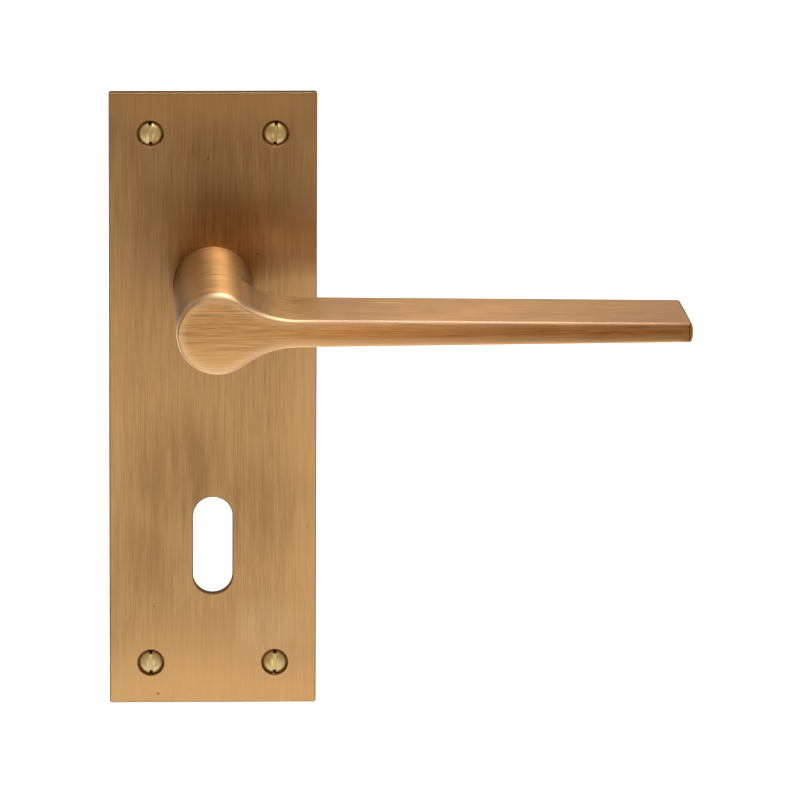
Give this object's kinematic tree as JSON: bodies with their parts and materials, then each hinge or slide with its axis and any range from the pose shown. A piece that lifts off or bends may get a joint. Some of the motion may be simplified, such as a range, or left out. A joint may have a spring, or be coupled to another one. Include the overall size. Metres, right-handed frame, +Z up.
{
  "type": "lever door handle on lock backplate",
  "caption": "Straight flat-paddle lever handle turning on a rectangular lock backplate with a keyhole, sprung by a round cassette behind the plate, with a square spindle.",
  "frame": {"origin": "where the spindle axis meets the door face, at the back of the backplate", "axes": "+Y along the spindle into the door, +Z up, +X the way the grip points; the room side is -Y"},
  "size_m": [0.1362, 0.1295, 0.15],
  "materials": {
    "bronzed_brass": "antique bronzed brass, fine linear brushing, lacquered satin",
    "polished_brass": "polished brass",
    "zinc_steel": "bright zinc plate",
    "spring_steel": "drawn spring wire",
    "black_steel": "black oxide",
    "acetal": "natural acetal"
  },
  "bodies": {
    "plate": {"backplate": "bronzed_brass", "wood_screws": "polished_brass", "bearing_bush": "acetal", "cover_bush": "acetal", "spring_housing": "zinc_steel", "housing_cover": "zinc_steel", "mounting_studs": "zinc_steel", "spacer_sleeves": "zinc_steel", "stud_washers": "zinc_steel", "stud_nuts": "zinc_steel", "return_spring": "spring_steel", "anchor_pin": "black_steel"},
    "lever": {"lever_handle": "bronzed_brass", "spindle": "zinc_steel", "grub_screw": "black_steel", "drive_cam": "zinc_steel", "drive_pin": "black_steel", "thrust_washer": "acetal", "wave_washer": "spring_steel", "circlip": "black_steel"}
  },
  "joints": [
    {"name": "lever_turn", "type": "hinge", "parent": "plate", "child": "lever", "pos_m": [0, 0, 0], "axis": [0, 1, 0], "range_deg": [0, 60], "stiffness_Nm_per_rad": 0.32, "springref_deg": -40.11, "deforming": ["return_spring"]}
  ]
}
